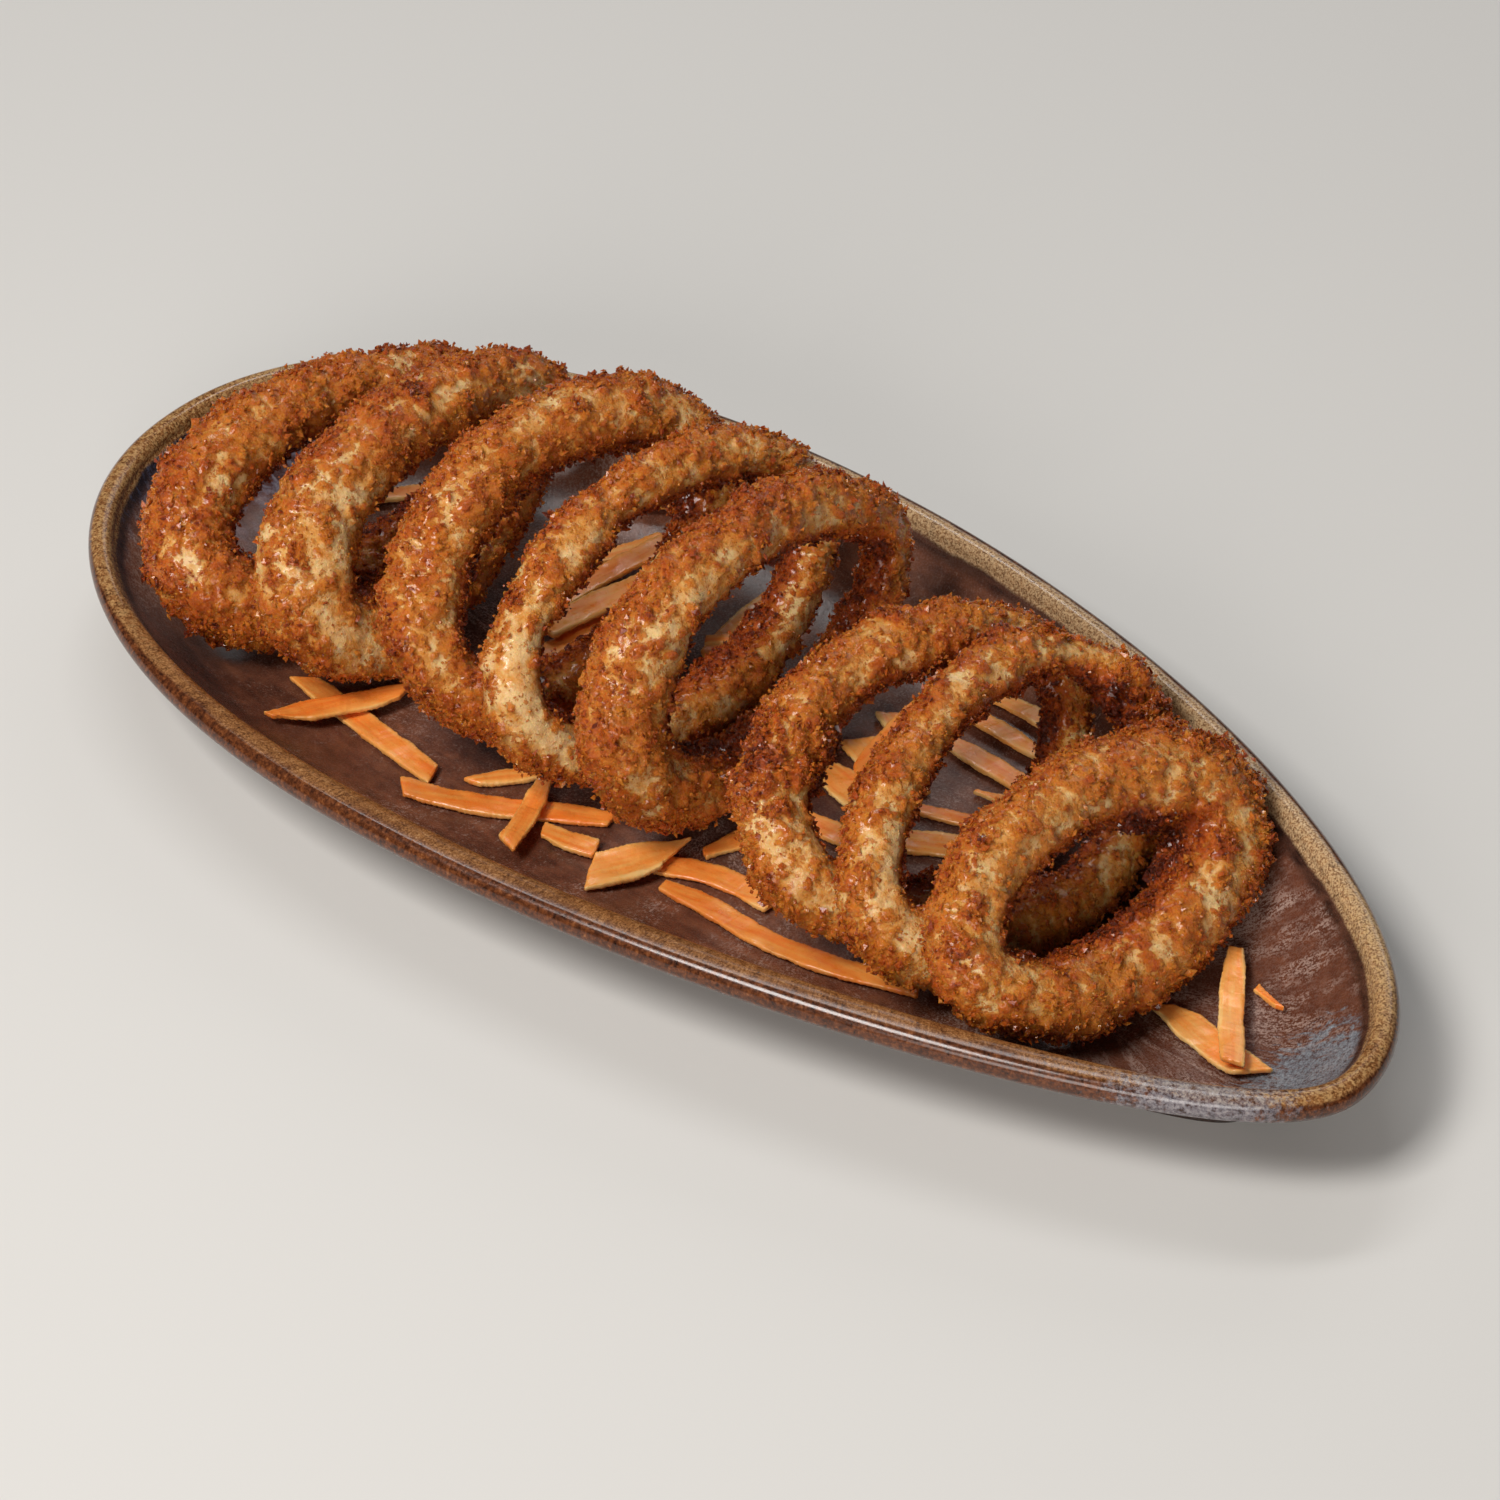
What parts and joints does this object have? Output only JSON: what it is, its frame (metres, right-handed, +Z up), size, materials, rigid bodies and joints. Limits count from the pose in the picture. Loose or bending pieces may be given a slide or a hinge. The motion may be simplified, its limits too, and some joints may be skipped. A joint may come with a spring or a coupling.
{
  "type": "crumbed squid rings on a plate",
  "caption": "Golden panko-crumbed squid rings leaning in a row over cut carrot strips on a long drop-shaped stoneware plate with a raised rim.",
  "frame": {"origin": "the middle of the whole thing's box at the height of the plate's foot, on the surface it stands on", "axes": "+X along the plate's length towards its narrow end, +Y across it towards the side behind the food as served, +Z up"},
  "size_m": [0.3, 0.1446, 0.063],
  "materials": {
    "glaze": "glossy reactive glaze, mauve-brown mottled with pale tan and blue-grey, breaking to rust on the rim",
    "crumb": "rough fried breadcrumb, golden with pale cream and brown patches and a little oil gloss",
    "carrot": "moist cut carrot, satin, orange with paler yellow-orange faces"
  },
  "bodies": {
    "root": {"plate": "glaze", "squid_ring_1": "crumb", "squid_ring_2": "crumb", "squid_ring_3": "crumb", "squid_ring_4": "crumb", "squid_ring_5": "crumb", "squid_ring_6": "crumb", "squid_ring_7": "crumb", "squid_ring_8": "crumb", "carrot_strip_01": "carrot", "carrot_strip_02": "carrot", "carrot_strip_03": "carrot", "carrot_strip_04": "carrot", "carrot_strip_05": "carrot", "carrot_strip_06": "carrot", "carrot_strip_07": "carrot", "carrot_strip_08": "carrot", "carrot_strip_09": "carrot", "carrot_strip_10": "carrot", "carrot_strip_11": "carrot", "carrot_strip_12": "carrot", "carrot_strip_13": "carrot", "carrot_strip_14": "carrot", "carrot_strip_15": "carrot", "carrot_strip_16": "carrot", "carrot_strip_17": "carrot", "carrot_strip_18": "carrot", "carrot_strip_19": "carrot", "carrot_strip_20": "carrot", "carrot_strip_21": "carrot", "carrot_strip_22": "carrot", "carrot_strip_23": "carrot", "carrot_strip_24": "carrot", "carrot_strip_25": "carrot", "carrot_strip_26": "carrot", "carrot_strip_27": "carrot", "carrot_strip_28": "carrot", "carrot_strip_29": "carrot", "carrot_strip_30": "carrot", "carrot_strip_31": "carrot", "carrot_strip_32": "carrot"}
  },
  "joints": []
}
